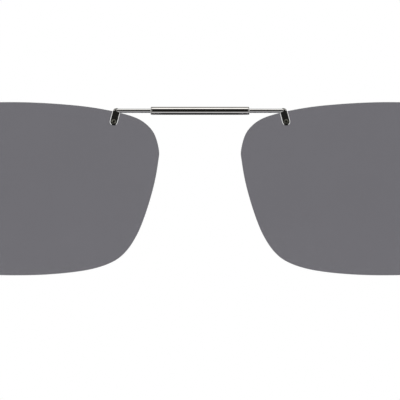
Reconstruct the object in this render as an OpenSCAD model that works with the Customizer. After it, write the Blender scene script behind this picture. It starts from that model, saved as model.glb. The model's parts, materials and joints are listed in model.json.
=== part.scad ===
// Clip-on sunglasses: two rimless tinted lenses on a sprung wire bridge, with four hooks that
// grip the spectacles worn behind them.
// Millimetres. +X is across the face, +Z is up and the fronts of the lenses face -Y.
// The origin is the middle of the bridge tube, on its axis.

/* [Lenses] */
// Width of one lens
lens_w = 55; // [46:0.1:66]
// Height of one lens
lens_h = 35.9; // [29:0.1:44]
// Gap between the two lenses where it is narrowest
lens_gap = 17; // [14:0.1:21]
// Thickness of a lens
lens_t = 1; // [0.8:0.05:1.3]
// Radius of the curved front of a lens
base_r = 132.5; // [100:0.5:200]

/* [Bridge tube] */
// Length over both end flanges
tube_len = 20.5; // [17:0.1:25]
// Outer diameter
tube_d = 1.66; // [1.5:0.01:2.2]
// Wall of the tube
tube_wall = 0.15; // [0.1:0.01:0.2]
// Thickness of the flange on each end bush
flange_t = 0.32; // [0.2:0.01:0.6]
// Length of bush inside the tube
bush_len = 1.5; // [1:0.1:2]

/* [Wires and springs] */
// Diameter of the bridge wire
wire_d = 0.87; // [0.8:0.01:1.1]
// Diameter of the ball on the wire's outer end
knob_d = 1.16; // [1.15:0.01:1.3]
// Distance of the ball's middle beyond the hook's crossing
knob_out = 0.2; // [0.1:0.01:0.3]
// Diameter of the rod that is turned on the wire's inner part
rod_d = 0.6; // [0.5:0.01:0.62]
// Gap between each rod's inner end and the middle of the tube
rod_end_gap = 0.5; // [0.2:0.1:1]
// Length of the head on the rod's inner end
head_len = 0.8; // [0.5:0.05:1.2]
// Thickness of the thrust washer
washer_t = 0.3; // [0.2:0.01:0.5]
// Diameter of the spring wire
spring_wire_d = 0.15; // [0.12:0.01:0.18]
// Number of turns in each spring
spring_turns = 12; // [8:1:13]

/* [Hooks] */
// Diameter of the hook wire
hook_d = 0.8; // [0.65:0.01:1]
// Radius of the hook's bends, to the middle of the wire
bend_r = 0.6; // [0.6:0.01:0.8]
// Distance from the screw to the stretch that crosses the lens edge
leg_len = 2.52; // [2.3:0.01:3.2]
// Length of the leg behind the lens
rear_len = 2.5; // [2.2:0.01:5]
// Room between the back of the lens and the grip tip
grip_gap = 3.6; // [2.5:0.1:3.9]
// Distance from the lens's nose edge to the upper hook
upper_inset = 8.72; // [7:0.01:11]
// Lean of the upper hook from upright
upper_lean = 14.5; // [0:0.5:25]
// Height of the upper hook's crossing above the bridge's axis
hook_rise = 0.2; // [0:0.01:0.3]
// Distance of the outer hook below the middle of the lens
outer_drop = 6; // [0:0.1:9]
// Diameter of the soft grip tip
tip_d = 1.4; // [1.3:0.01:2]
// Length of hook leg inside the grip tip
tip_grip = 1.5; // [1:0.1:1.6]

/* [Feet and screws] */
// Width of the foot
foot_w = 1.62; // [1.4:0.01:2]
// Thickness of the foot over the screw hole
foot_t = 1.3; // [1.25:0.01:1.7]
// Distance from the screw to the top of the foot
foot_rise = 2.22; // [1.8:0.01:2.4]
// Diameter of the screw
screw_d = 0.6; // [0.5:0.01:0.7]
// Diameter of the screw's head
screw_head_d = 0.98; // [0.8:0.01:1.1]
// Width of the screw's slot
slot_w = 0.16; // [0.1:0.01:0.25]
// Depth of the screw's slot
slot_depth = 0.16; // [0.1:0.01:0.2]
// Turn of the screw's slot from the length of the foot
slot_turn = 55; // [0:5:90]
// Width of the nut across its flats
nut_af = 1.2; // [1:0.01:1.6]
// Thickness of the nut
nut_t = 0.8; // [0.5:0.01:1]
// Diameter of the pad under the nut
pad_d = 1.4; // [1.2:0.01:2]
// Thickness of the pad under the nut, at its middle
pad_t = 0.35; // [0.25:0.01:0.5]

/* [Fits] */
// Radial clearance of a piece that slides or turns
run_gap = 0.02; // [0.01:0.005:0.04]
// Gap left at a joint that is pressed, brazed or glued
bond_gap = 0.01; // [0.005:0.001:0.02]
// Radial clearance of a screw in its hole in a lens
hole_gap = 0.06; // [0.03:0.01:0.1]
// Gap between two faces that press on each other and turn
face_gap = 0.02; // [0.01:0.005:0.05]
// Radial clearance of a piece that floats inside the tube
float_gap = 0.06; // [0.05:0.005:0.08]
// Gap between the hook and the lens edge that it crosses
edge_gap = 0.03; // [0.02:0.01:0.2]

/* [Hidden] */
$fn = 48;

// Bridge: places along +X
tube_id = tube_d - 2 * tube_wall;
flange_x = tube_len / 2 - flange_t;
bush_x = flange_x - bush_len;
head_x = rod_end_gap + head_len;
washer_x = head_x + face_gap;
spring_x = washer_x + washer_t;
shoulder_x = tube_len / 2 + face_gap;
spring_d = (tube_id - 2 * float_gap + rod_d + 2 * run_gap) / 2;

// Outline of the right lens, nose side first, in percent of half its width and half its height
KNOTS = [
  [15, 99.8], [-4, 99.4], [-25, 97.6], [-47, 94.3], [-68, 88.5], [-83, 81.6], [-91.5, 73],
  [-97, 61.5], [-100, 44], [-99.5, 32], [-97, 9.5], [-93, -14], [-88, -37], [-83, -54.5],
  [-76, -71], [-67, -83], [-53, -91.5], [-35, -96.5], [-11, -99.5], [15, -100], [38, -98.5],
  [58, -95], [76, -85], [89, -66], [96, -40], [99, -10], [100, 20], [99, 48], [94, 71],
  [84, 87], [66, 95.5], [42, 99]
];
KNOT_STEPS = 5;

// Point at share t of the way from knot b to knot c of a smooth curve through a, b, c and d
function curve_point(a, b, c, d, t) =
  (2 * b + (c - a) * t + (2 * a - 5 * b + 4 * c - d) * t * t
   + (3 * b - a - 3 * c + d) * t * t * t) / 2;

function knot(i) = KNOTS[(i + len(KNOTS)) % len(KNOTS)];

outline = [
  for (i = [0:len(KNOTS) - 1])
    for (s = [0:KNOT_STEPS - 1])
      let (p = curve_point(knot(i - 1), knot(i), knot(i + 1), knot(i + 2), s / KNOT_STEPS))
        [p.x * lens_w / 200, p.y * lens_h / 200]
];

// Height of the top edge at x, and place of the temple edge at height z, from the lens centre:
// only the outline's upper quarter, and its outermost ninth, are looked up
TOP = [for (p = outline) if (p.y > lens_h * 0.25) p];
SIDE = [for (p = outline) if (p.x > lens_w * 0.385) [p.y, p.x]];
function top_edge(x) = lookup(x, TOP);
function side_edge(z) = lookup(z, SIDE);

// Step from the screw to the hook's crossing, for the lean given
function leg_step(lean) = [-sin(lean) * leg_len, 0, cos(lean) * leg_len];

// Depth of the curved front at p behind its centre of curvature
function front_depth(p) =
  sqrt(pow(base_r, 2) - pow(p.x - lens_cx, 2) - pow(p.z - lens_cz, 2));

// Lens centre: the top edge passes just under the upper hook's crossing
edge_room = hook_d / 2 + edge_gap;
lens_cx = (lens_gap + lens_w) / 2;
upper_dx = upper_inset - lens_w / 2;
upper_slope = top_edge(upper_dx + 0.5) - top_edge(upper_dx - 0.5);
lens_cz = hook_rise - edge_room / cos(atan(upper_slope)) - top_edge(upper_dx);

// Upper screw, on the lens's front: its hook's front leg passes through the bridge's axis
leg_z = foot_t / 2;
upper_pos = [lens_cx + upper_dx, leg_z, hook_rise] - leg_step(upper_lean);
lens_cy = leg_z + front_depth(upper_pos);

// Outer screw: its hook crosses the temple edge square to it
outer_slope = side_edge(0.5 - outer_drop) - side_edge(-0.5 - outer_drop);
outer_lean = -atan2(1, -outer_slope);
outer_dx = side_edge(-outer_drop) + edge_room / cos(atan(outer_slope));
outer_flat = [lens_cx + outer_dx, 0, lens_cz - outer_drop] - leg_step(outer_lean);
outer_pos = [outer_flat.x, lens_cy - front_depth(outer_flat), outer_flat.z];

// Each seat: place and lean
UPPER = [upper_pos, upper_lean];
OUTER = [outer_pos, outer_lean];

// Hook and screw: places on a seat's own axes, +Y along the leg and +Z to the front
rear_z = -(lens_t + grip_gap + tip_d / 2);
socket_y = screw_d / 2 + 0.15;
pad_z = -lens_t - bond_gap - pad_t;
nut_z = pad_z - bond_gap - nut_t;
screw_tail = 0.1;
tip_end_y = leg_len - rear_len;

// Rim and dome of the screw's head, and how far the foot's block starts behind the lens's front
HEAD_RIM = 0.1;
HEAD_DOME = 0.2;
FOOT_ROOT = 0.8;

// Cutting blocks: how far a cut runs past its piece, and blocks larger than what they cut
OVERCUT = 1;
BLOCK = 10;
LENS_BLANK = 40;

STEEL = [0.72, 0.72, 0.74];
DARK = [0.1, 0.1, 0.1];
LENS_GREY = [0.44, 0.44, 0.45, 0.8];
SPRING_SIDES = 6;
SPRING_STEPS = 16;

module left() {
  mirror([1, 0, 0]) children();
}

// A round bar or bore along X, from x to x + length
module along_x(x, length, d) {
  translate([x, 0, 0]) rotate([0, 90, 0]) cylinder(d = d, h = length);
}

// Places its children at a seat
module on(seat) {
  translate(seat[0]) rotate([90, 0, 0]) rotate([0, 0, seat[1]]) children();
}

// A ball about the lens's centre of curvature
module curve_ball(r) {
  translate([lens_cx, lens_cy, lens_cz]) sphere(r = r, $fn = 200);
}

// A block on the tangent plane of the lens's front at a seat, from z outwards along its normal
module tangent_block(seat, z) {
  p = seat[0];
  tip = -asin((p.z - lens_cz) / base_r);
  turn = asin((p.x - lens_cx) / (base_r * cos(tip)));
  translate(p)
    rotate([0, 0, turn])
      rotate([tip, 0, 0])
        rotate([90, 0, 0])
          translate([-BLOCK / 2, -BLOCK / 2, z])
            cube(BLOCK);
}

module bridge_tube() {
  color(STEEL)
    difference() {
      along_x(-flange_x, 2 * flange_x, tube_d);
      along_x(-flange_x - OVERCUT, 2 * (flange_x + OVERCUT), tube_id);
    }
}

module end_bush() {
  color(STEEL)
    difference() {
      union() {
        along_x(bush_x, bush_len + flange_t, tube_id - 2 * bond_gap);
        along_x(flange_x + bond_gap, flange_t - bond_gap, tube_d);
      }
      along_x(bush_x - OVERCUT, bush_len + flange_t + 2 * OVERCUT, rod_d + 2 * run_gap);
    }
}

// The coil's axial place after a number of turns: its end turns lie closed
function coil_x(turn) =
  let (
    start = spring_x + spring_wire_d / 2 + bond_gap,
    stop = bush_x - spring_wire_d / 2 - bond_gap,
    closed = spring_wire_d + bond_gap
  )
    lookup(turn, [
      [0, start], [1, start + closed], [spring_turns - 1, stop - closed], [spring_turns, stop]
    ]);

module spring() {
  rings = spring_turns * SPRING_STEPS;
  points = [
    for (i = [0:rings])
      let (turn = i / SPRING_STEPS, a = 360 * turn)
        for (s = [0:SPRING_SIDES - 1])
          let (
            b = 360 * s / SPRING_SIDES,
            r = (spring_d + spring_wire_d * cos(b)) / 2
          )
            [coil_x(turn) + spring_wire_d / 2 * sin(b), r * cos(a), r * sin(a)]
  ];
  sides = [
    for (i = [0:rings - 1])
      for (s = [0:SPRING_SIDES - 1])
        let (n = (s + 1) % SPRING_SIDES, a = i * SPRING_SIDES, b = a + SPRING_SIDES)
          [a + s, b + s, b + n, a + n]
  ];
  first = [for (s = [0:SPRING_SIDES - 1]) s];
  last = [for (s = [SPRING_SIDES - 1:-1:0]) rings * SPRING_SIDES + s];
  color(STEEL)
    polyhedron(points = points, faces = concat(sides, [first, last]));
}

module thrust_washer() {
  color(STEEL)
    difference() {
      along_x(washer_x, washer_t, tube_id - 2 * float_gap);
      along_x(washer_x - OVERCUT, washer_t + 2 * OVERCUT, rod_d + 2 * run_gap);
    }
}

module rod_head() {
  color(STEEL)
    difference() {
      along_x(rod_end_gap, head_len, tube_id - 2 * float_gap);
      along_x(rod_end_gap - OVERCUT, head_len + 2 * OVERCUT, rod_d + 2 * bond_gap);
    }
}

// The wire's ball end is coped round the hook and the foot that it is brazed to
module bridge_wire() {
  wire_end = lens_cx + upper_dx + knob_out;
  color(STEEL)
    difference() {
      union() {
        along_x(rod_end_gap, shoulder_x - rod_end_gap + wire_d, rod_d);
        along_x(shoulder_x, wire_end - shoulder_x, wire_d);
        translate([wire_end, 0, 0]) sphere(d = knob_d);
      }
      on(UPPER) {
        hook_path(hook_d + 2 * bond_gap);
        foot_block(bond_gap);
      }
    }
}

module lens() {
  color(LENS_GREY)
    difference() {
      intersection() {
        translate([lens_cx, 0, lens_cz])
          rotate([90, 0, 0])
            linear_extrude(height = LENS_BLANK, center = true)
              polygon(outline);
        difference() {
          curve_ball(base_r);
          curve_ball(base_r - lens_t);
        }
      }
      on(UPPER) lens_hole();
      on(OUTER) lens_hole();
    }
}

module lens_hole() {
  cylinder(d = screw_d + 2 * hole_gap, h = BLOCK, center = true);
}

// A quarter bend of round wire: from the +Y side of the middle c round to its +Z side
module quarter_bend(c, turn, d) {
  translate([0, c[0], c[1]])
    rotate([90, 0, 90])
      rotate([0, 0, turn])
        rotate_extrude(angle = 90) translate([bend_r, 0]) circle(d = d);
}

// The hook: a leg in the foot, a stretch across the lens edge and a leg behind the lens
module hook_path(d) {
  bend_y = leg_len - bend_r;
  translate([0, socket_y, leg_z]) rotate([-90, 0, 0]) cylinder(d = d, h = bend_y - socket_y);
  quarter_bend([bend_y, leg_z - bend_r], 0, d);
  translate([0, leg_len, rear_z + bend_r]) cylinder(d = d, h = leg_z - rear_z - 2 * bend_r);
  quarter_bend([bend_y, rear_z + bend_r], -90, d);
  translate([0, tip_end_y, rear_z]) rotate([-90, 0, 0]) cylinder(d = d, h = rear_len - bend_r);
}

module hook() {
  color(STEEL) hook_path(hook_d);
}

// The foot's block, with one round end at the screw, grown by the gap given
module foot_block(gap) {
  w = foot_w + 2 * gap;
  translate([0, 0, -FOOT_ROOT])
    linear_extrude(height = FOOT_ROOT + foot_t + gap)
      union() {
        circle(d = w);
        translate([-w / 2, 0]) square([w, foot_rise + gap]);
      }
}

// The foot's back lies on the lens's front
module foot(seat) {
  color(DARK)
    difference() {
      on(seat)
        difference() {
          foot_block(0);
          hook_path(hook_d + 2 * bond_gap);
          cylinder(d = screw_d + 2 * bond_gap, h = BLOCK, center = true);
        }
      tangent_block(seat, bond_gap - BLOCK);
    }
}

module screw() {
  r = screw_head_d / 2;
  cap_r = (r * r + HEAD_DOME * HEAD_DOME) / (2 * HEAD_DOME);
  under = foot_t + bond_gap;
  top = under + HEAD_RIM + HEAD_DOME;
  color(DARK)
    difference() {
      union() {
        translate([0, 0, nut_z - screw_tail])
          cylinder(d = screw_d, h = under - nut_z + screw_tail + HEAD_RIM / 2);
        intersection() {
          translate([0, 0, under]) cylinder(d = screw_head_d, h = HEAD_RIM + HEAD_DOME);
          translate([0, 0, top - cap_r]) sphere(r = cap_r);
        }
      }
      translate([0, 0, top])
        rotate([0, 0, slot_turn])
          cube([slot_w, 2 * screw_head_d, 2 * slot_depth], center = true);
    }
}

module nut() {
  color(STEEL)
    translate([0, 0, nut_z])
      difference() {
        cylinder(d = nut_af / cos(30), h = nut_t, $fn = 6);
        cylinder(d = screw_d + 2 * bond_gap, h = BLOCK, center = true);
      }
}

// The pad's front lies on the lens's back
module pad(seat) {
  color(DARK)
    difference() {
      on(seat)
        translate([0, 0, pad_z])
          difference() {
            cylinder(d = pad_d, h = 2 * pad_t);
            cylinder(d = screw_d + 2 * bond_gap, h = BLOCK, center = true);
          }
      tangent_block(seat, -lens_t - bond_gap);
    }
}

module tip() {
  color(DARK)
    translate([0, tip_end_y, rear_z])
      rotate([-90, 0, 0])
        difference() {
          union() {
            sphere(d = tip_d);
            cylinder(d = tip_d, h = tip_grip);
          }
          translate([0, 0, -bond_gap]) cylinder(d = hook_d + 2 * bond_gap, h = tip_grip + OVERCUT);
        }
}

bridge_tube();
left() end_bush();  // left_end_bush
end_bush();  // right_end_bush
left() spring();  // left_spring
spring();  // right_spring
left() thrust_washer();  // left_thrust_washer
thrust_washer();  // right_thrust_washer
left() rod_head();  // left_rod_head
rod_head();  // right_rod_head
left() bridge_wire();  // left_bridge_wire
bridge_wire();  // right_bridge_wire
left() lens();  // left_lens
lens();  // right_lens
left() on(UPPER) hook();  // left_upper_hook
on(UPPER) hook();  // right_upper_hook
left() on(OUTER) hook();  // left_outer_hook
on(OUTER) hook();  // right_outer_hook
left() foot(UPPER);  // left_upper_foot
foot(UPPER);  // right_upper_foot
left() foot(OUTER);  // left_outer_foot
foot(OUTER);  // right_outer_foot
left() on(UPPER) screw();  // left_upper_screw
on(UPPER) screw();  // right_upper_screw
left() on(OUTER) screw();  // left_outer_screw
on(OUTER) screw();  // right_outer_screw
left() on(UPPER) nut();  // left_upper_nut
on(UPPER) nut();  // right_upper_nut
left() on(OUTER) nut();  // left_outer_nut
on(OUTER) nut();  // right_outer_nut
left() pad(UPPER);  // left_upper_pad
pad(UPPER);  // right_upper_pad
left() pad(OUTER);  // left_outer_pad
pad(OUTER);  // right_outer_pad
left() on(UPPER) tip();  // left_upper_tip
on(UPPER) tip();  // right_upper_tip
left() on(OUTER) tip();  // left_outer_tip
on(OUTER) tip();  // right_outer_tip
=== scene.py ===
"""Clip-on sunglasses: polished spring bridge, tinted rimless lenses and black-faced grip feet."""

import json
import math

import bmesh
import bpy
from bpy.props import FloatProperty, FloatVectorProperty, IntProperty, PointerProperty
from bpy.types import Operator, Panel, PropertyGroup
from mathutils import Matrix, Vector


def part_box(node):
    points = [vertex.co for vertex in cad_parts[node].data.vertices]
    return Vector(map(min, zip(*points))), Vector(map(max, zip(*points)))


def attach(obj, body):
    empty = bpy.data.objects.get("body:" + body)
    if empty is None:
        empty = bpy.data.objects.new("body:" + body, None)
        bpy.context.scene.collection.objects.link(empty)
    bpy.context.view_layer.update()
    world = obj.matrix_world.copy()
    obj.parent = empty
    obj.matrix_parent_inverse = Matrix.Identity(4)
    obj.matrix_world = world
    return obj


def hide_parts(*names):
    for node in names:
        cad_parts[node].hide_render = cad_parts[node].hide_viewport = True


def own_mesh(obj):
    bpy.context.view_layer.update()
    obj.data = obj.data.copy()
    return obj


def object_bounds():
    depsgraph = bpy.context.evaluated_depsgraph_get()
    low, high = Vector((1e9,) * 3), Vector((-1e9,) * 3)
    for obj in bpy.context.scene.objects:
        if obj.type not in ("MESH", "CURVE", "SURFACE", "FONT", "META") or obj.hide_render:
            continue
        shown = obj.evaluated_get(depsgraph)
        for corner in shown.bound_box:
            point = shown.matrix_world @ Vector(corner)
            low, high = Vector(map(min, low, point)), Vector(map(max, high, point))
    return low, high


bl_info = {
    "name": "Clip-on sunglasses",
    "version": (1, 0, 0),
    "blender": (4, 5, 0),
    "location": "3D View > Sidebar > Clip-on",
    "description": "Finished pieces, materials and stage for a pair of clip-on sunglasses",
    "category": "Object",
}

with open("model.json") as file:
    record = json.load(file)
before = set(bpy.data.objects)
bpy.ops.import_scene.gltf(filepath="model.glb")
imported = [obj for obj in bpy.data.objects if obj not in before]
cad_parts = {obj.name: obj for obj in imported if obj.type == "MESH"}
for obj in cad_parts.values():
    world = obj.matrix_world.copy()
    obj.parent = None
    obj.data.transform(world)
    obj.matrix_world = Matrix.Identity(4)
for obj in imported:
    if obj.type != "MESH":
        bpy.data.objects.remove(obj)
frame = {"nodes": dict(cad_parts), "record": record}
CAD_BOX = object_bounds()
NODES = frame["nodes"]
MOUNTS = {m["name"]: m for m in frame["record"]["mounts"]}

SIDES = {"left": -1, "right": 1}
SEATS = [(side, place) for side in SIDES for place in ("upper", "outer")]
MM = 0.001
FULL_TURN = 2 * math.pi
FIT = 0.01 * MM  # Gap between pieces that are fixed together, or turns that lie closed.
PLAY = 0.02 * MM  # Gap between pieces that slide or turn on each other.
NEAR = 0.05 * MM  # A cut that passes a corner nearer than this goes through it.
WHITE = (1, 1, 1)


# Sizes and colours


def millimetres(name, description, default):
    """A length property, given in millimetres."""
    return FloatProperty(
        name=name, description=description, default=default * MM, min=0, unit="LENGTH", precision=5
    )


def colour(name, description, default):
    """A colour property."""
    return FloatVectorProperty(
        name=name, description=description, default=default, size=3, min=0, max=1, subtype="COLOR"
    )


class BridgeSettings(PropertyGroup):
    """Sizes and metal colours of the bridge."""

    tube_wall: millimetres("Tube wall", "Wall of the bridge tube", 0.15)
    bush_bore: millimetres("Bush bore", "Bore of the end bushes", 0.64)
    bush_body: millimetres("Bush body", "Diameter of the bush inside the tube", 1.34)
    flange: millimetres("Flange", "Thickness of the flange on each bush", 0.31)
    flange_round: millimetres("Flange round", "Radius on the flange's outer edge", 0.24)
    rod: millimetres("Rod", "Diameter of the rod that slides in the bush", 0.6)
    wire: millimetres("Wire", "Diameter of the bridge wire", 0.87)
    edge_round: millimetres("Edge round", "Radius on the turned edges", 0.04)
    spring_wire: millimetres("Spring wire", "Diameter of the spring's wire", 0.15)
    spring_turns: IntProperty(name="Spring turns", description="Turns in each spring", default=12)
    segments: IntProperty(name="Segments", description="Faces round a turned piece", default=72)
    tube_metal: colour("Tube metal", "Colour of the polished tube", (0.93, 0.915, 0.89))
    bush_metal: colour("Bush metal", "Colour of the plated bushes", (0.52, 0.51, 0.495))
    wire_metal: colour("Wire metal", "Colour of the polished wire", (0.9, 0.9, 0.89))
    braze: colour("Braze", "Colour of the brazed ball", (0.33, 0.325, 0.31))


class LensSettings(PropertyGroup):
    """Sizes and tint of the lenses."""

    thickness: millimetres("Thickness", "Thickness of a lens", 1.0)
    bevel: millimetres("Bevel", "Safety bevel on the lens's edges", 0.06)
    hole: millimetres("Hole", "Diameter of the drilled holes", 0.72)
    cell: millimetres("Cell", "Spacing of the surface's grid", 1.6)
    tint: colour("Tint", "Tint that light takes on through the lens", (0.1676, 0.1642, 0.1803))
    edge_tint: colour("Edge tint", "Colour of the ground edge", (0.16, 0.16, 0.17))


class GripSettings(PropertyGroup):
    """Sizes and colours of the hooks, feet, screws, nuts, pads and tips."""

    wire: millimetres("Wire", "Diameter of the hook wire", 0.8)
    bend: millimetres("Bend", "Radius of the hook's bends", 0.6)
    foot_rim: millimetres("Foot rim", "Width of the polished chamfer round the black face", 0.1)
    foot_edge: millimetres("Foot edge", "Depth of the chamfer on the foot's front edge", 0.075)
    corner: millimetres("Corner", "Radius of the foot's upper corners", 0.32)
    head: millimetres("Screw head", "Diameter of the screw's head", 0.98)
    head_round: millimetres("Head round", "Radius on the screw head's edge", 0.02)
    dome: millimetres("Dome", "Height of the screw head's dome", 0.2)
    slot_width: millimetres("Slot width", "Width of the screw's slot", 0.16)
    slot_depth: millimetres("Slot depth", "Depth of the screw's slot", 0.16)
    slot_turn: FloatProperty(
        name="Slot turn",
        description="Turn of the slot from the foot's length",
        default=math.radians(55),
        subtype="ANGLE",
    )
    screw: millimetres("Screw", "Diameter of the screw's shank", 0.6)
    screw_room: millimetres("Screw room", "Gap from the screw to the end of the hook's leg", 0.15)
    edge_round: millimetres("Edge round", "Radius on the nut's and pad's edges", 0.05)
    tip_round: millimetres("Tip round", "Radius on the outside of the tip's mouth", 0.1)
    lip_round: millimetres("Lip round", "Radius on the inside of the tip's mouth", 0.03)
    black: colour("Black", "Colour of the foot's enamel face", (0.007, 0.007, 0.006))
    rubber: colour("Rubber", "Colour of the grip tips", (0.02, 0.02, 0.02))
    screw_metal: colour("Screw metal", "Colour of the blackened screw", (0.13, 0.13, 0.11))


class StageSettings(PropertyGroup):
    """Camera, floor and light."""

    view_width: FloatProperty(
        name="View width", description="Width seen at the bridge", default=0.08284, unit="LENGTH"
    )
    view_height: FloatProperty(
        name="View height", description="Height of the camera", default=-0.01847, unit="LENGTH"
    )
    focal: FloatProperty(name="Focal length", description="Lens of the camera, in mm", default=700)
    floor_drop: FloatProperty(
        name="Floor drop", description="Floor below the lenses", default=0.052, unit="LENGTH"
    )
    floor_radius: FloatProperty(
        name="Floor radius", description="Radius of the floor", default=0.8, unit="LENGTH"
    )
    light_watts: FloatProperty(
        name="Light", description="Power of the overhead softbox", default=2.2, unit="POWER"
    )


# Measuring the frame


def reach(node, origin, direction):
    """Least and greatest distance of a CAD node's points from origin, along direction."""
    along = [(v.co - origin).dot(direction) for v in NODES[node].data.vertices]
    return min(along), max(along)


def seat_axes(side, place):
    """Matrix of a grip's own axes: origin on the screw's axis, +Y along the leg, +Z to the front."""
    up = -Vector(MOUNTS[f"{side}_{place}_grip"]["axis"])
    front = Vector((0, -1, 0))
    low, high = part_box(f"{side}_{place}_screw")
    axes = Matrix((up.cross(front), up, front)).transposed().to_4x4()
    return Matrix.Translation(((low.x + high.x) / 2, 0, (low.z + high.z) / 2)) @ axes


def own_reach(side, place, kind, axis):
    """Least and greatest place of a grip's node along its own axis 0, 1 or 2."""
    axes = seat_axes(side, place)
    return reach(f"{side}_{place}_{kind}", axes.translation, axes.col[axis].to_3d())


def merged(node):
    """A bmesh copy of a CAD node with its triangles joined."""
    bm = bmesh.new()
    bm.from_mesh(NODES[node].data)
    bmesh.ops.remove_doubles(bm, verts=bm.verts, dist=1e-7)
    return bm


def sharp_edges(bm, degrees):
    """Edges whose two faces meet at more than an angle."""
    limit = math.radians(degrees)
    return [e for e in bm.edges if len(e.link_faces) == 2 and e.calc_face_angle() > limit]


def loops_of(edges):
    """The closed loops that edges make, each a list of points in order, the longest first."""
    left, loops = set(edges), []
    while left:
        edge = left.pop()
        first, vert = edge.verts
        points = [first.co.copy()]
        while vert is not first:
            points.append(vert.co.copy())
            edge = next(e for e in vert.link_edges if e in left)
            left.discard(edge)
            vert = edge.other_vert(vert)
        loops.append(points)
    return sorted(loops, key=lambda ps: -sum((a - b).length for a, b in zip(ps, ps[1:])))


def lens_form(side):
    """Front rim of a CAD lens and the centre and radius of its curved front."""
    bm = merged(f"{side}_lens")
    outer = loops_of(sharp_edges(bm, 50))[:2]
    bm.free()
    rim = min(outer, key=lambda ps: sum(p.y for p in ps) / len(ps))
    low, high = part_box(f"{side}_lens")
    pole = Vector(((low.x + high.x) / 2, low.y, (low.z + high.z) / 2))
    radii = [(p - pole).length_squared / (2 * (p.y - pole.y)) for p in rim]
    radius = sum(radii) / len(radii)
    return rim, pole + Vector((0, radius, 0)), radius


# Shaping


def corner_rounded(bm, corners):
    """Rounds the corners of a wire profile: pairs of a vertex and its radius."""
    for vert, radius in corners:
        bmesh.ops.bevel(
            bm, geom=[vert], offset=radius, offset_type="OFFSET", segments=5, profile=0.5,
            affect="VERTICES", material=-1,
        )


def turned(points, segments, closed=False):
    """A piece turned about +X from a profile of (x, radius, corner radius) points."""
    bm = bmesh.new()
    verts = [bm.verts.new((x, 0, r)) for x, r, _ in points]
    pairs = list(zip(verts, verts[1:])) + ([(verts[-1], verts[0])] if closed else [])
    for a, b in pairs:
        bm.edges.new((a, b))
    corner_rounded(bm, [(v, p[2]) for v, p in zip(verts, points) if p[2] > 0])
    geom = bm.verts[:] + bm.edges[:]
    bmesh.ops.spin(
        bm, geom=geom, cent=(0, 0, 0), axis=(1, 0, 0), angle=FULL_TURN, steps=segments,
        use_merge=True,
    )
    bmesh.ops.remove_doubles(bm, verts=bm.verts, dist=1e-8)
    bmesh.ops.recalc_face_normals(bm, faces=bm.faces)
    return bm


def ring_bar(x0, x1, outer, inner, corner, segments):
    """A turned ring or sleeve from x0 to x1."""
    return turned(
        [(x0, inner, 0), (x0, outer, corner), (x1, outer, corner), (x1, inner, 0)],
        segments, closed=True,
    )


def flipped(bm, sign):
    """Mirrors a mesh across the middle when sign is -1."""
    if sign < 0:
        bmesh.ops.scale(bm, vec=(-1, 1, 1), verts=bm.verts)
        bmesh.ops.reverse_faces(bm, faces=bm.faces)
    return bm


def pushed(bm, ring, step):
    """Draws a ring of edges out by a step and returns the new ring."""
    out = bmesh.ops.extrude_edge_only(bm, edges=ring)["geom"]
    verts = [g for g in out if isinstance(g, bmesh.types.BMVert)]
    bmesh.ops.translate(bm, vec=step, verts=verts)
    return [g for g in out if isinstance(g, bmesh.types.BMEdge) and all(v in verts for v in g.verts)]


def swung(bm, ring, centre, axis, angle, steps, drift=(0, 0, 0)):
    """Swings a ring of edges round an axis and returns the last ring."""
    verts = list({v for e in ring for v in e.verts})
    out = bmesh.ops.spin(
        bm, geom=verts + ring, cent=centre, axis=axis, angle=angle, steps=steps, dvec=drift
    )["geom_last"]
    return [g for g in out if isinstance(g, bmesh.types.BMEdge)]


def edges_rounded(bm, edges, radius, segments=3):
    """Rounds edges of a solid."""
    bmesh.ops.bevel(
        bm, geom=edges, offset=radius, offset_type="OFFSET", segments=segments, profile=0.5,
        affect="EDGES", material=-1,
    )


def piece(name, bm, body, materials, stands_for, sharp=35):
    """Makes a finished piece of a mesh, on its body, in the place of its CAD node."""
    mesh = bpy.data.meshes.new(name)
    bm.to_mesh(mesh)
    bm.free()
    mesh.shade_smooth()
    mesh.set_sharp_from_angle(angle=math.radians(sharp))
    for material in materials:
        mesh.materials.append(material)
    made = bpy.data.objects.new(name, mesh)
    bpy.context.scene.collection.objects.link(made)
    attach(made, body)
    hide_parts(stands_for)
    return made


# Materials


def colours_mixed(tree, factor, first, second):
    """Two colours mixed by a factor. Each colour is a value or a socket."""
    mix = tree.nodes.new("ShaderNodeMix")
    mix.data_type = "RGBA"
    tree.links.new(factor, mix.inputs["Factor"])
    sockets = (s for s in mix.inputs if s.type == "RGBA")
    for socket, value in zip(sockets, (first, second)):
        if isinstance(value, bpy.types.NodeSocket):
            tree.links.new(value, socket)
        else:
            socket.default_value = (*value, 1)
    return next(s for s in mix.outputs if s.type == "RGBA")


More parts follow.
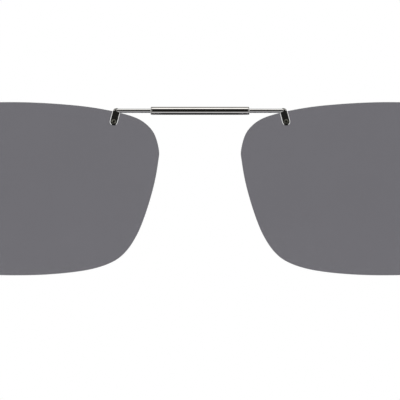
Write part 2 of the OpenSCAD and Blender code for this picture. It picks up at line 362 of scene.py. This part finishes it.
class Finish:
    """A material being built round one Principled shader."""

    def __init__(self, name, **values):
        self.material = bpy.data.materials.new(name)
        self.material.use_nodes = True
        self.tree = self.material.node_tree
        self.shader = self.tree.nodes["Principled BSDF"]
        for socket, value in values.items():
            full = tuple(value) + (1,) if socket == "Base_Color" else value
            self.shader.inputs[socket.replace("_", " ")].default_value = full

    def node(self, kind, **values):
        """A new node with its sockets set."""
        made = self.tree.nodes.new(kind)
        for socket, value in values.items():
            made.inputs[socket.replace("_", " ")].default_value = value
        return made

    def place(self, stretch=(1, 1, 1)):
        """Object coordinates, stretched."""
        mapping = self.node("ShaderNodeMapping", Scale=stretch)
        self.tree.links.new(
            self.tree.nodes.new("ShaderNodeTexCoord").outputs["Object"], mapping.inputs["Vector"]
        )
        return mapping.outputs["Vector"]

    def noise(self, size, detail=4, stretch=(1, 1, 1)):
        """Noise whose grains are about a size, in metres."""
        made = self.node("ShaderNodeTexNoise", Scale=1 / size, Detail=detail)
        self.tree.links.new(self.place(stretch), made.inputs["Vector"])
        return made.outputs["Fac"]

    def ranged(self, source, low, high, start=0.35, end=0.65):
        """A source spread between two values."""
        made = self.node(
            "ShaderNodeMapRange", From_Min=start, From_Max=end, To_Min=low, To_Max=high
        )
        self.tree.links.new(source, made.inputs["Value"])
        return made.outputs["Result"]

    def vary(self, socket, source, low, high):
        """Varies a socket between two values by a source."""
        self.tree.links.new(self.ranged(source, low, high), self.shader.inputs[socket])

    def tone(self, source, first, second):
        """Varies the colour between two by a source."""
        mixed = colours_mixed(self.tree, self.ranged(source, 0, 1), first, second)
        self.tree.links.new(mixed, self.shader.inputs["Base Color"])

    def bump(self, source, depth, strength=1.0):
        """Raises the surface by a source, to a depth in metres."""
        made = self.node("ShaderNodeBump", Strength=strength, Distance=depth)
        self.tree.links.new(source, made.inputs["Height"])
        self.tree.links.new(made.outputs["Normal"], self.shader.inputs["Normal"])


def scaled(rgb, by):
    """A colour made lighter or darker."""
    return tuple(min(1, c * by) for c in rgb)


def polished(name, metal, low=0.03, high=0.07, grain=(1, 1, 1)):
    """Polished plated metal with faint drawing marks."""
    finish = Finish(name, Base_Color=metal, Metallic=1.0)
    marks = finish.noise(0.06 * MM, 3, grain)
    finish.vary("Roughness", marks, low, high)
    finish.tone(finish.noise(1.2 * MM), scaled(metal, 0.96), scaled(metal, 1.03))
    finish.bump(marks, 0.0003 * MM, 0.3)
    return finish.material


def brazed(metal):
    """Brazed joint, slightly darkened by its flux."""
    finish = Finish("brazed", Base_Color=metal, Metallic=1.0)
    stain = finish.noise(0.2 * MM, 4)
    finish.tone(stain, scaled(metal, 0.8), scaled(metal, 1.1))
    finish.vary("Roughness", stain, 0.16, 0.1)
    finish.bump(finish.noise(0.25 * MM, 3), 0.006 * MM)
    return finish.material


def satin_steel(name, metal=(0.6, 0.6, 0.6)):
    """Turned steel with fine tool marks."""
    finish = Finish(name, Base_Color=metal, Metallic=1.0)
    marks = finish.noise(0.03 * MM, 2, (1, 0.1, 0.1))
    finish.vary("Roughness", marks, 0.22, 0.4)
    finish.tone(finish.noise(0.4 * MM), scaled(metal, 0.85), scaled(metal, 1.1))
    finish.bump(marks, 0.002 * MM)
    return finish.material


def tinted_lens(tint):
    """Clear tinted plastic, polished, with the faintest smudges."""
    finish = Finish("tinted_lens", Base_Color=tint, Transmission_Weight=1.0, IOR=1.5)
    finish.vary("Roughness", finish.noise(9 * MM, 3), 0.0, 0.012)
    finish.tone(finish.noise(14 * MM, 2), scaled(tint, 0.992), scaled(tint, 1.008))
    return finish.material


def ground_edge(tint):
    """The lens's ground edge: fine, even grinding marks."""
    finish = Finish("ground_edge", Base_Color=tint, Transmission_Weight=0.55, IOR=1.5)
    marks = finish.noise(0.05 * MM, 3)
    finish.vary("Roughness", marks, 0.3, 0.5)
    finish.bump(marks, 0.002 * MM)
    return finish.material


def black_enamel(black):
    """Glossy black enamel, slightly uneven."""
    finish = Finish("black_enamel", Base_Color=black, Coat_Weight=0.6, Coat_Roughness=0.08)
    speckle = finish.noise(0.12 * MM, 4)
    finish.vary("Roughness", speckle, 0.28, 0.45)
    finish.tone(speckle, black, scaled(black, 1.3))
    finish.bump(finish.noise(0.3 * MM, 3), 0.004 * MM)
    return finish.material


def blackened_screw(metal):
    """Blackened steel, worn brighter in patches."""
    finish = Finish("blackened_screw", Base_Color=metal, Metallic=1.0)
    wear = finish.noise(0.25 * MM, 4)
    finish.tone(wear, scaled(metal, 0.35), scaled(metal, 1.5))
    finish.vary("Roughness", wear, 0.45, 0.25)
    finish.bump(finish.noise(0.05 * MM, 2), 0.002 * MM)
    return finish.material


def soft_rubber(rubber):
    """Matte rubber with a fine moulded grain."""
    finish = Finish("soft_rubber", Base_Color=rubber)
    grain = finish.noise(0.05 * MM, 4)
    finish.vary("Roughness", grain, 0.55, 0.75)
    finish.tone(finish.noise(0.5 * MM), rubber, scaled(rubber, 1.8))
    finish.bump(grain, 0.004 * MM)
    return finish.material


def cloudy_pad():
    """Cloudy clear plastic."""
    white = (0.7, 0.7, 0.69)
    finish = Finish("cloudy_pad", Base_Color=white, Transmission_Weight=0.5, IOR=1.45)
    finish.vary("Roughness", finish.noise(0.1 * MM, 3), 0.3, 0.5)
    finish.tone(finish.noise(0.4 * MM), scaled(white, 0.9), white)
    return finish.material


def pale_floor():
    """Plain pale floor paint, clear from below."""
    pale = (0.93, 0.93, 0.925)
    finish = Finish("pale_floor", Base_Color=pale)
    finish.vary("Roughness", finish.noise(0.02, 3), 0.6, 0.7)
    finish.tone(finish.noise(0.15, 3), scaled(pale, 0.985), pale)
    below = finish.node("ShaderNodeNewGeometry").outputs["Backfacing"]
    finish.vary("Alpha", below, 1.0, 0.0)
    return finish.material


# Pieces


class ClipOnOperator:
    """What the makers of pieces share."""

    bl_options = {"REGISTER", "UNDO"}

    @property
    def bridge(self):
        """The bridge's settings."""
        return bpy.context.scene.clipon_bridge

    @property
    def grip(self):
        """The grips' settings."""
        return bpy.context.scene.clipon_grip


class CLIPON_OT_tube(ClipOnOperator, Operator):
    """Make the polished bridge tube"""

    bl_idname = "clipon.tube"
    bl_label = "Bridge tube"

    def execute(self, context):
        sizes = self.bridge
        low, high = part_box("bridge_tube")
        radius = (high.z - low.z) / 2
        bm = ring_bar(
            low.x, high.x, radius, radius - sizes.tube_wall, sizes.edge_round / 2, sizes.segments
        )
        metal = polished("polished_tube", sizes.tube_metal, grain=(0.02, 1, 1))
        piece("tube", bm, "bridge", [metal], "bridge_tube")
        return {"FINISHED"}


class CLIPON_OT_bushes(ClipOnOperator, Operator):
    """Make the flanged end bushes"""

    bl_idname = "clipon.bushes"
    bl_label = "End bushes"

    def execute(self, context):
        sizes = self.bridge
        metal = polished("polished_bush", sizes.bush_metal)
        low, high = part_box("right_end_bush")
        bore, body, outer = sizes.bush_bore / 2, sizes.bush_body / 2, (high.z - low.z) / 2
        corner, face = sizes.edge_round, high.x - sizes.flange
        for side, sign in SIDES.items():
            profile = [
                (low.x, bore, 0), (low.x, body, corner), (face, body, 0), (face, outer, corner / 2),
                (high.x, outer, sizes.flange_round), (high.x, bore, corner),
            ]
            bm = flipped(turned(profile, sizes.segments, closed=True), sign)
            piece(f"bush_{side}", bm, "bridge", [metal], f"{side}_end_bush")
        return {"FINISHED"}


class CLIPON_OT_rod_heads(ClipOnOperator, Operator):
    """Make the rod heads and thrust washers inside the tube"""

    bl_idname = "clipon.rod_heads"
    bl_label = "Rod heads and washers"

    def execute(self, context):
        sizes = self.bridge
        steel = satin_steel("turned_steel")
        kinds = (
            ("rod_head", "half", sizes.rod / 2 + FIT),
            ("thrust_washer", "slider", sizes.bush_bore / 2),
        )
        for kind, body, bore in kinds:
            low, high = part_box(f"right_{kind}")
            outer = (high.z - low.z) / 2
            for side, sign in SIDES.items():
                bm = ring_bar(low.x, high.x, outer, bore, sizes.edge_round, sizes.segments)
                bm = flipped(bm, sign)
                name = f"{kind}_{side}"
                piece(name, bm, f"{side}_{body}", [steel], f"{side}_{kind}")
        return {"FINISHED"}


class CLIPON_OT_springs(ClipOnOperator, Operator):
    """Make the compression springs, which shorten as the lenses are pulled apart"""

    bl_idname = "clipon.springs"
    bl_label = "Springs"

    steps: IntProperty(name="Steps", description="Steps in one turn of the coil", default=28)

    def execute(self, context):
        sizes = self.bridge
        steel = satin_steel("spring_steel", (0.55, 0.54, 0.52))
        low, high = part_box("right_spring")
        wire = sizes.spring_wire / 2
        radius = (high.z - low.z) / 2 - wire
        closed = 2 * wire + FIT
        drawn = high.x - low.x - 2 * wire - 2 * closed
        open_turns = sizes.spring_turns - 2
        for side, sign in SIDES.items():
            bm = bmesh.new()
            start = Matrix.Translation((low.x + wire, radius, 0))
            bmesh.ops.create_circle(bm, cap_ends=False, segments=12, radius=wire, matrix=start)
            first = bm.edges[:]
            ring = first
            for turns, length in ((1, closed), (open_turns, drawn), (1, closed)):
                count = turns * self.steps
                ring = swung(
                    bm, ring, (0, 0, 0), (1, 0, 0), FULL_TURN * turns, count, (length / count, 0, 0)
                )
            for end in (first, ring):
                bmesh.ops.contextual_create(bm, geom=end)
            bmesh.ops.remove_doubles(bm, verts=bm.verts, dist=1e-9)
            bmesh.ops.recalc_face_normals(bm, faces=bm.faces)
            made = piece(
                f"spring_{side}", flipped(bm, sign), "bridge", [steel],
                f"{side}_spring", sharp=60,
            )
            length = high.x - low.x
            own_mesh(made)
        return {"FINISHED"}


class CLIPON_OT_wires(ClipOnOperator, Operator):
    """Make the bridge wires with their turned-down rods and brazed ends"""

    bl_idname = "clipon.wires"
    bl_label = "Bridge wires"

    def execute(self, context):
        sizes = self.bridge
        metal = polished("polished_wire", sizes.wire_metal, grain=(0.02, 1, 1))
        low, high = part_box("right_bridge_wire")
        rod, wire, corner = sizes.rod / 2, sizes.wire / 2, sizes.edge_round
        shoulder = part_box("right_end_bush")[1].x + PLAY
        blob = (high.z - low.z) / 2
        middle = high.x - blob
        neck = math.asin(wire / blob)
        arc = [neck + (math.pi / 2 - neck) * i / 6 for i in range(7)]
        end = [(middle - blob * math.cos(a), blob * math.sin(a), 0) for a in arc]
        close = [
            (middle + blob * math.sin(a), blob * math.cos(a), 0)
            for a in (math.pi / 2 * i / 8 for i in range(1, 9))
        ]
        profile = [
            (low.x, 0, 0), (low.x, rod, corner), (shoulder, rod, 0), (shoulder, wire, corner),
            *end, *close,
        ]
        materials = [metal, brazed(sizes.braze)]
        for side, sign in SIDES.items():
            bm = turned(profile, sizes.segments)
            for face in bm.faces:
                face.material_index = int(face.calc_center_median().x > end[0][0])
            bm = flipped(bm, sign)
            name = f"wire_{side}"
            piece(name, bm, f"{side}_half", materials, f"{side}_bridge_wire", 50)
        return {"FINISHED"}


class CLIPON_OT_lenses(ClipOnOperator, Operator):
    """Make the curved, tinted lenses with drilled holes and a ground edge"""

    bl_idname = "clipon.lenses"
    bl_label = "Lenses"

    def execute(self, context):
        sizes = context.scene.clipon_lens
        materials = [tinted_lens(sizes.tint), ground_edge(sizes.edge_tint)]
        for side in SIDES:
            rim, centre, radius = lens_form(side)
            bm = bmesh.new()
            self.blank(bm, side, rim, sizes)
            self.grid(bm, *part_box(f"{side}_lens"), sizes.cell)
            out = bmesh.ops.extrude_face_region(bm, geom=bm.faces[:])["geom"]
            backs = {g for g in out if isinstance(g, bmesh.types.BMVert)}
            walls = [f for f in bm.faces if 0 < len(backs.intersection(f.verts)) < len(f.verts)]
            rims = {v for f in walls for v in f.verts}
            for vert in bm.verts:
                back = vert in backs
                step = (-sizes.bevel if back else sizes.bevel) * (vert in rims)
                across = Vector((vert.co.x - centre.x, 0, vert.co.z - centre.z)).length_squared
                skin = (radius - sizes.thickness * back) ** 2
                vert.co.y = centre.y - math.sqrt(skin - across) + step
            for face in walls:
                face.material_index = 1
            bmesh.ops.recalc_face_normals(bm, faces=bm.faces)
            name = f"lens_{side}"
            piece(name, bm, f"{side}_half", materials, f"{side}_lens", 25)
        return {"FINISHED"}

    def blank(self, bm, side, rim, sizes):
        """A flat blank of the lens's outline with its two holes, each edge lined by a narrow ring."""
        verts = [bm.verts.new((p.x, 0, p.z)) for p in rim]
        for a, b in zip(verts, verts[1:] + verts[:1]):
            bm.edges.new((a, b))
        bmesh.ops.contextual_create(bm, geom=bm.edges[:])
        bmesh.ops.inset_region(
            bm, faces=bm.faces[:], thickness=sizes.bevel, use_boundary=True, use_even_offset=True
        )
        middle = max(bm.faces, key=lambda f: f.calc_area())
        inside = middle.edges[:]
        bmesh.ops.delete(bm, geom=[middle], context="FACES_ONLY")
        for place in ("upper", "outer"):
            axes = seat_axes(side, place)
            hole = bmesh.ops.create_circle(
                bm, cap_ends=False, segments=32, radius=sizes.hole / 2, matrix=axes
            )["verts"]
            ring = pushed(bm, list({e for v in hole for e in v.link_edges}), (0, 0, 0))
            outer = list({v for e in ring for v in e.verts})
            grow = 1 + 2 * sizes.bevel / sizes.hole
            centre = Matrix.Translation(-axes.translation)
            bmesh.ops.scale(bm, vec=(grow, 1, grow), space=centre, verts=outer)
            inside += ring
        for face in bm.faces:
            face.material_index = 1
        filled = bmesh.ops.triangle_fill(bm, edges=inside, use_beauty=True, normal=(0, -1, 0))
        inner = {g for g in filled["geom"] if isinstance(g, bmesh.types.BMFace)}
        for face in inner:
            face.material_index = 0
        joins = [e for e in bm.edges if inner.issuperset(e.link_faces) and not e.is_boundary]
        bmesh.ops.dissolve_limit(bm, angle_limit=0.01, verts=[], edges=joins)

    def grid(self, bm, low, high, cell):
        """Cuts the blank, inside its edge rings, across and down so that it can be curved."""
        for axis, normal in ((0, Vector((1, 0, 0))), (2, Vector((0, 0, 1)))):
            cuts = int((high[axis] - low[axis]) / cell)
            for i in range(1, cuts):
                place = normal * (low[axis] + (high[axis] - low[axis]) * i / cuts)
                inner = [f for f in bm.faces if f.material_index == 0]
                geom = {g for f in inner for g in (f, *f.edges, *f.verts)}
                bmesh.ops.bisect_plane(
                    bm, geom=list(geom), dist=NEAR, plane_co=place, plane_no=normal
                )


class CLIPON_OT_hooks(ClipOnOperator, Operator):
    """Make the bent hook wires"""

    bl_idname = "clipon.hooks"
    bl_label = "Hooks"

    def execute(self, context):
        sizes = self.grip
        metal = polished("hook_wire", self.bridge.wire_metal)
        wire, bend = sizes.wire / 2, sizes.bend
        for side, place in SEATS:
            back, front = own_reach(side, place, "hook", 2)
            top = own_reach(side, place, "hook", 1)[1]
            tip_low = own_reach(side, place, "tip", 1)[0]
            tip_back, tip_front = own_reach(side, place, "tip", 2)
            leg_z, rear_z, run_y = front - wire, back + wire, top - wire
            start_y = sizes.screw / 2 + sizes.screw_room
            end_y = tip_low + (tip_front - tip_back) / 2
            bm = bmesh.new()
            turn = Matrix.Translation((0, start_y, leg_z)) @ Matrix.Rotation(-math.pi / 2, 4, "X")
            bmesh.ops.create_circle(bm, cap_ends=False, segments=32, radius=wire, matrix=turn)
            first = bm.edges[:]
            ring = pushed(bm, first, (0, run_y - bend - start_y, 0))
            across = (1, 0, 0)
            middle = (0, run_y - bend, leg_z - bend)
            ring = swung(bm, ring, middle, across, -math.pi / 2, 12)
            ring = pushed(bm, ring, (0, 0, rear_z - leg_z + 2 * bend))
            middle = (0, run_y - bend, rear_z + bend)
            ring = swung(bm, ring, middle, across, -math.pi / 2, 12)
            ring = pushed(bm, ring, (0, end_y - run_y + bend, 0))
            for end in (first, ring):
                bmesh.ops.contextual_create(bm, geom=end)
            bmesh.ops.remove_doubles(bm, verts=bm.verts, dist=1e-9)
            bmesh.ops.recalc_face_normals(bm, faces=bm.faces)
            bm.transform(seat_axes(side, place))
            piece(
                f"hook_{place}_{side}", bm, f"{side}_half", [metal],
                f"{side}_{place}_hook", 50,
            )
        return {"FINISHED"}


class CLIPON_OT_feet(ClipOnOperator, Operator):
    """Make the feet: a polished tab with a black enamel face"""

    bl_idname = "clipon.feet"
    bl_label = "Feet"

    def execute(self, context):
        sizes = self.grip
        rim_metal = polished("foot_rim", self.bridge.wire_metal, 0.05, 0.1)
        materials = [black_enamel(sizes.black), rim_metal]
        for side, place in SEATS:
            left, right = own_reach(side, place, "foot", 0)
            top = own_reach(side, place, "foot", 1)[1]
            back, front = own_reach(side, place, "foot", 2)
            half = (right - left) / 2
            step = front - sizes.foot_edge
            bm = bmesh.new()
            start = bm.verts.new((-half, 0, step))
            bmesh.ops.spin(
                bm, geom=[start], cent=(0, 0, step), axis=(0, 0, 1), angle=math.pi, steps=28
            )
            bm.verts.ensure_lookup_table()
            stop = max(bm.verts, key=lambda v: v.co.x)
            corners = [bm.verts.new((x, top, step)) for x in (half, -half)]
            for a, b in zip([stop, *corners], [*corners, start]):
                bm.edges.new((a, b))
            corner_rounded(bm, [(c, sizes.corner) for c in corners])
            bmesh.ops.contextual_create(bm, geom=bm.edges[:])
            bmesh.ops.inset_region(
                bm, faces=bm.faces[:], thickness=sizes.foot_rim, use_boundary=True,
                use_even_offset=True,
            )
            face = max(bm.faces, key=lambda f: f.calc_area())
            for other in bm.faces:
                other.material_index = int(other is not face)
            walls = bmesh.ops.extrude_face_region(bm, geom=bm.faces[:])["geom"]
            verts = [g for g in walls if isinstance(g, bmesh.types.BMVert)]
            bmesh.ops.translate(bm, vec=(0, 0, back - step), verts=verts)
            bmesh.ops.translate(bm, vec=(0, 0, front - step), verts=face.verts)
            # The enamel runs up to the foot's top edge.
            upper = [v for v in face.verts if v.co.y > 0]
            bmesh.ops.scale(bm, vec=(1, top / (top - sizes.foot_rim), 1), verts=upper)
            bmesh.ops.recalc_face_normals(bm, faces=bm.faces)
            bm.transform(seat_axes(side, place))
            _, centre, radius = lens_form(side)
            seat = seat_axes(side, place).translation
            across = Vector((seat.x - centre.x, 0, seat.z - centre.z))
            seat.y = centre.y - math.sqrt(radius**2 - across.length_squared)
            normal = (seat - centre).normalized()
            geom = bm.verts[:] + bm.edges[:] + bm.faces[:]
            cut = bmesh.ops.bisect_plane(
                bm, geom=geom, dist=1e-8, plane_co=seat + normal * FIT, plane_no=normal,
                clear_inner=True,
            )["geom_cut"]
            bmesh.ops.holes_fill(bm, edges=[g for g in cut if isinstance(g, bmesh.types.BMEdge)])
            bmesh.ops.recalc_face_normals(bm, faces=bm.faces)
            piece(
                f"foot_{place}_{side}", bm, f"{side}_half", materials,
                f"{side}_{place}_foot",
            )
        return {"FINISHED"}


class CLIPON_OT_screws(ClipOnOperator, Operator):
    """Make the slotted, domed screws"""

    bl_idname = "clipon.screws"
    bl_label = "Screws"

    def execute(self, context):
        sizes = self.grip
        metal = blackened_screw(sizes.screw_metal)
        for side, place in SEATS:
            tail, top = own_reach(side, place, "screw", 2)
            foot_front = own_reach(side, place, "foot", 2)[1]
            head, shank, dome = sizes.head / 2, sizes.screw / 2, sizes.dome
            cap = (head**2 + dome**2) / (2 * dome)
            spread = math.asin(head / cap)
            arc = [spread * (1 - i / 6) for i in range(7)]
            crown = [(top - cap + cap * math.cos(a), cap * math.sin(a), 0) for a in arc]
            profile = [
                (tail, 0, 0), (tail, shank, sizes.edge_round), (foot_front, shank, 0),
                (foot_front, head, sizes.head_round), *crown,
            ]
            bm = turned(profile, 48)
            bm.transform(Matrix.Rotation(-math.pi / 2, 4, "Y"))
            for edge in (-0.5, 0.5):
                geom = bm.verts[:] + bm.edges[:] + bm.faces[:]
                bmesh.ops.bisect_plane(
                    bm, geom=geom, dist=1e-8, plane_co=(edge * sizes.slot_width, 0, 0),
                    plane_no=(1, 0, 0),
                )
            floor = top - sizes.slot_depth
            slot = [
                f
                for f in bm.faces
                if abs(f.calc_center_median().x) < sizes.slot_width / 2
                and all(v.co.z > top - dome - 1e-7 for v in f.verts)
                and f.normal.z > 0.3
            ]
            out = bmesh.ops.extrude_face_region(bm, geom=slot)["geom"]
            for vert in (g for g in out if isinstance(g, bmesh.types.BMVert)):
                vert.co.z = min(vert.co.z, floor)
            bmesh.ops.delete(bm, geom=[f for f in slot if f.is_valid], context="FACES")
            bmesh.ops.remove_doubles(bm, verts=bm.verts, dist=1e-8)
            bmesh.ops.recalc_face_normals(bm, faces=bm.faces)
            bm.transform(Matrix.Rotation(SIDES[side] * sizes.slot_turn, 4, "Z"))
            bm.transform(seat_axes(side, place))
            piece(
                f"screw_{place}_{side}", bm, f"{side}_half", [metal],
                f"{side}_{place}_screw",
            )
        return {"FINISHED"}


class CLIPON_OT_fixings(ClipOnOperator, Operator):
    """Make the nuts and pads behind the lenses"""

    bl_idname = "clipon.fixings"
    bl_label = "Nuts and pads"

    def execute(self, context):
        kinds = (
            ("nut", "nut_steel", satin_steel("nut_steel", (0.62, 0.62, 0.62))),
            ("pad", "clear_pad", cloudy_pad()),
        )
        for side, place in SEATS:
            for kind, slot, material in kinds:
                node = f"{side}_{place}_{kind}"
                bm = merged(node)
                bmesh.ops.dissolve_limit(
                    bm, angle_limit=math.radians(1), verts=bm.verts[:], edges=bm.edges[:]
                )
                edges_rounded(bm, sharp_edges(bm, 50), self.grip.edge_round, 2)
                bmesh.ops.triangulate(bm, faces=[f for f in bm.faces if len(f.verts) > 4])
                piece(f"{kind}_{place}_{side}", bm, f"{side}_half", [material], node)
        return {"FINISHED"}


class CLIPON_OT_tips(ClipOnOperator, Operator):
    """Make the soft grip tips"""

    bl_idname = "clipon.tips"
    bl_label = "Grip tips"

    def execute(self, context):
        sizes = self.grip
        rubber = soft_rubber(sizes.rubber)
        for side, place in SEATS:
            low, top = own_reach(side, place, "tip", 1)
            back, front = own_reach(side, place, "tip", 2)
            radius, bore = (front - back) / 2, sizes.wire / 2
            arc = [math.pi / 2 * i / 10 for i in range(11)]
            end = [(low + radius * (1 - math.cos(a)), radius * math.sin(a), 0) for a in arc]
            mouth = [(top, radius, sizes.tip_round), (top, bore, sizes.lip_round)]
            bottom = [(low + radius, bore, 0), (low + radius, 0, 0)]
            bm = turned([*end, *mouth, *bottom], 40)
            bm.transform(Matrix.Rotation(math.pi / 2, 4, "Z"))
            bm.transform(Matrix.Translation((0, 0, (front + back) / 2)))
            bm.transform(seat_axes(side, place))
            piece(
                f"tip_{place}_{side}", bm, f"{side}_half", [rubber],
                f"{side}_{place}_tip", 50,
            )
        return {"FINISHED"}


# Stage

SOFTBOX_SIZE = (0.6, 0.35)
SOFTBOX_PLACE = (0.1, -0.2, 0.55)
# White cards stand at the studio's sides: how far to the side they start, and where they are full.
# They reach further round at the back, by this share of the depth.
CARDS_START, CARDS_FULL, CARDS_BACK = 0.5, 0.66, 0.35
# Studio round the object as polished metal sees it: degrees above the camera, going over the top
# to the back, and the tone there.
STUDIO = (
    (-180, (0.01, 0.01, 0.01)),
    (-67, (0.006, 0.006, 0.007)),
    (-62, (0.52, 0.515, 0.53)),
    (-40, (0.52, 0.515, 0.53)),
    (-33, (0.14, 0.138, 0.14)),
    (-18, (0.07, 0.068, 0.066)),
    (-10, (0.008, 0.008, 0.0074)),
    (54, (0.008, 0.0075, 0.007)),
    (60, (1.2, 1.18, 1.15)),
    (88, (1.2, 1.18, 1.15)),
    (95, (0.19, 0.185, 0.175)),
    (140, (0.22, 0.215, 0.205)),
    (180, (0.8, 0.8, 0.79)),
)


class CLIPON_OT_stage(ClipOnOperator, Operator):
    """Make the floor, the light and the camera"""

    bl_idname = "clipon.stage"
    bl_label = "Stage"

    def execute(self, context):
        scene, stage = context.scene, context.scene.clipon_stage
        self.world(scene)
        self.floor(scene, stage)
        self.softbox(scene, stage)
        self.camera(scene, stage)
        scene.view_settings.view_transform = "Standard"
        return {"FINISHED"}

    def world(self, scene):
        """White room; gloss sees the studio's cards and softboxes."""
        world = bpy.data.worlds.new("studio")
        world.use_nodes = True
        scene.world = world
        nodes, link = world.node_tree.nodes, world.node_tree.links.new
        background = nodes["Background"]

        def maths(operation, *values):
            made = nodes.new("ShaderNodeMath")
            made.operation = operation
            for i, value in enumerate(values):
                if isinstance(value, bpy.types.NodeSocket):
                    link(value, made.inputs[i])
                else:
                    made.inputs[i].default_value = value
            return made.outputs[0]

        axes = nodes.new("ShaderNodeSeparateXYZ")
        link(nodes.new("ShaderNodeTexCoord").outputs["Generated"], axes.inputs[0])
        across, depth, height = axes.outputs
        angle = maths("ARCTAN2", height, maths("MULTIPLY", depth, -1.0))
        turn = maths("DIVIDE", maths("ADD", angle, math.pi), FULL_TURN)
        ramp = nodes.new("ShaderNodeValToRGB")
        stops = ramp.color_ramp.elements
        while len(stops) > 1:
            stops.remove(stops[-1])
        stops[0].position, stops[0].color = 0, (*STUDIO[0][1], 1)
        for degrees, tone in STUDIO[1:]:
            stops.new((degrees + 180) / 360).color = (*tone, 1)
        link(turn, ramp.inputs[0])
        sides = nodes.new("ShaderNodeMapRange")
        sides.interpolation_type = "SMOOTHSTEP"
        sides.inputs["From Min"].default_value = CARDS_START
        sides.inputs["From Max"].default_value = CARDS_FULL
        away = maths("MULTIPLY", maths("MAXIMUM", depth, 0.0), CARDS_BACK)
        link(maths("ADD", maths("ABSOLUTE", across), away), sides.inputs["Value"])
        path = nodes.new("ShaderNodeLightPath")
        plain = maths("SUBTRACT", 1.0, path.outputs["Is Glossy Ray"])
        plain = maths("MAXIMUM", plain, path.outputs["Is Transmission Ray"])
        plain = maths("MAXIMUM", plain, sides.outputs["Result"])
        mixed = colours_mixed(world.node_tree, plain, ramp.outputs["Color"], WHITE)
        link(mixed, background.inputs["Color"])

    def floor(self, scene, stage):
        """A round floor below the glasses, too small to show from the front."""
        bm = bmesh.new()
        drop = Matrix.Translation((0, 0, CAD_BOX[0].z - stage.floor_drop))
        bmesh.ops.create_circle(
            bm, cap_ends=True, segments=96, radius=stage.floor_radius, matrix=drop
        )
        mesh = bpy.data.meshes.new("floor")
        bm.to_mesh(mesh)
        bm.free()
        mesh.materials.append(pale_floor())
        floor = bpy.data.objects.new("floor", mesh)
        scene.collection.objects.link(floor)
        floor.visible_glossy = False

    def softbox(self, scene, stage):
        """A large soft light overhead, a little to the front."""
        light = bpy.data.lights.new("softbox", "AREA")
        light.shape = "RECTANGLE"
        light.size, light.size_y = SOFTBOX_SIZE
        light.energy = stage.light_watts
        holder = bpy.data.objects.new("softbox", light)
        holder.location = SOFTBOX_PLACE
        holder.rotation_euler = (-holder.location).to_track_quat("-Z", "Y").to_euler()
        scene.collection.objects.link(holder)
        holder.visible_camera = False
        holder.visible_glossy = False

    def camera(self, scene, stage):
        """A long lens, level with the middle of the lenses."""
        data = bpy.data.cameras.new("camera")
        data.lens = stage.focal
        distance = stage.view_width * stage.focal / data.sensor_width
        data.clip_start, data.clip_end = distance / 10, distance * 10
        camera = bpy.data.objects.new("camera", data)
        camera.location = (0, -distance, stage.view_height)
        camera.rotation_euler = (math.pi / 2, 0, 0)
        scene.collection.objects.link(camera)
        scene.camera = camera


SETTINGS = {
    "clipon_bridge": BridgeSettings,
    "clipon_lens": LensSettings,
    "clipon_grip": GripSettings,
    "clipon_stage": StageSettings,
}
MAKERS = (
    CLIPON_OT_tube,
    CLIPON_OT_bushes,
    CLIPON_OT_rod_heads,
    CLIPON_OT_springs,
    CLIPON_OT_wires,
    CLIPON_OT_lenses,
    CLIPON_OT_hooks,
    CLIPON_OT_feet,
    CLIPON_OT_screws,
    CLIPON_OT_fixings,
    CLIPON_OT_tips,
    CLIPON_OT_stage,
)


class CLIPON_PT_panel(Panel):
    """Lists the makers of the glasses' pieces"""

    bl_idname = "CLIPON_PT_panel"
    bl_label = "Clip-on sunglasses"
    bl_space_type = "VIEW_3D"
    bl_region_type = "UI"
    bl_category = "Clip-on"

    def draw(self, context):
        for maker in MAKERS:
            self.layout.operator(maker.bl_idname)


def register():
    """Registers the add-on's classes and its settings on the scene."""
    for kind in (*SETTINGS.values(), *MAKERS, CLIPON_PT_panel):
        bpy.utils.register_class(kind)
    for name, kind in SETTINGS.items():
        setattr(bpy.types.Scene, name, PointerProperty(type=kind))


def unregister():
    """Takes the settings and classes away again."""
    for name in SETTINGS:
        delattr(bpy.types.Scene, name)
    for kind in (CLIPON_PT_panel, *reversed(MAKERS), *SETTINGS.values()):
        bpy.utils.unregister_class(kind)


def main():
    """Makes every piece and the stage."""
    register()
    for maker in MAKERS:
        group, name = maker.bl_idname.split(".")
        getattr(getattr(bpy.ops, group), name)()


if __name__ == "__main__":
    main()
